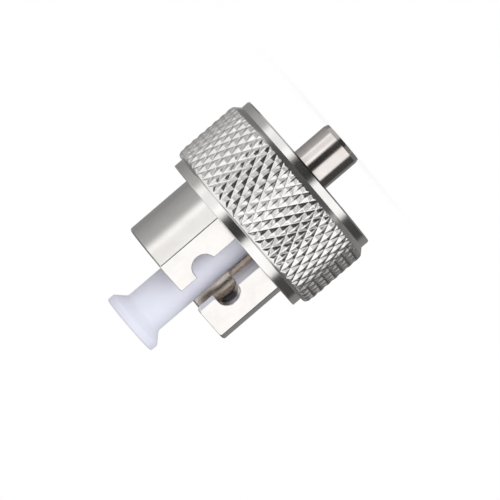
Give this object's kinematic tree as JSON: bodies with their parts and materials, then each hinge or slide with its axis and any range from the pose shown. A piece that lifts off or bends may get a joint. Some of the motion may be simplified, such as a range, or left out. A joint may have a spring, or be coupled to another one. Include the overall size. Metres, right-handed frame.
{
  "type": "otdr fibre adapter",
  "caption": "Metal fibre adapter with a diamond-knurled coupling collar, a slotted D-shaped barrel with a white dust cap, and a steel sleeve tube on the port side.",
  "frame": {"origin": "on the adapter's axis, in the plane of the collar's port-side face", "axes": "+Z along the axis from the sleeve tube towards the barrel and its dust cap; the barrel's flat faces -Y"},
  "size_m": [0.02, 0.02, 0.0286],
  "materials": {
    "barrel_nickel": "satin nickel plate on brass",
    "collar_nickel": "bright nickel plate on brass",
    "tube_steel": "turned stainless steel",
    "spring_steel": "dark spring steel",
    "sleeve_bronze": "polished phosphor bronze",
    "cap_plastic": "matte white moulded plastic"
  },
  "bodies": {
    "barrel": {"keyed_barrel": "barrel_nickel", "sleeve_tube": "tube_steel", "ferrule_guide": "barrel_nickel", "split_sleeve": "sleeve_bronze"},
    "collar": {"knurled_collar": "collar_nickel", "snap_ring": "spring_steel"},
    "cap": {"dust_cap": "cap_plastic"}
  },
  "joints": [
    {"name": "collar_turn", "type": "hinge", "parent": "barrel", "child": "collar", "pos_m": [0, 0, 0.0088], "axis": [0, 0, 1], "continuous": true},
    {"name": "cap_pull", "type": "slide", "parent": "barrel", "child": "cap", "axis": [0, 0, 1], "range_m": [0, 0.0125]}
  ]
}
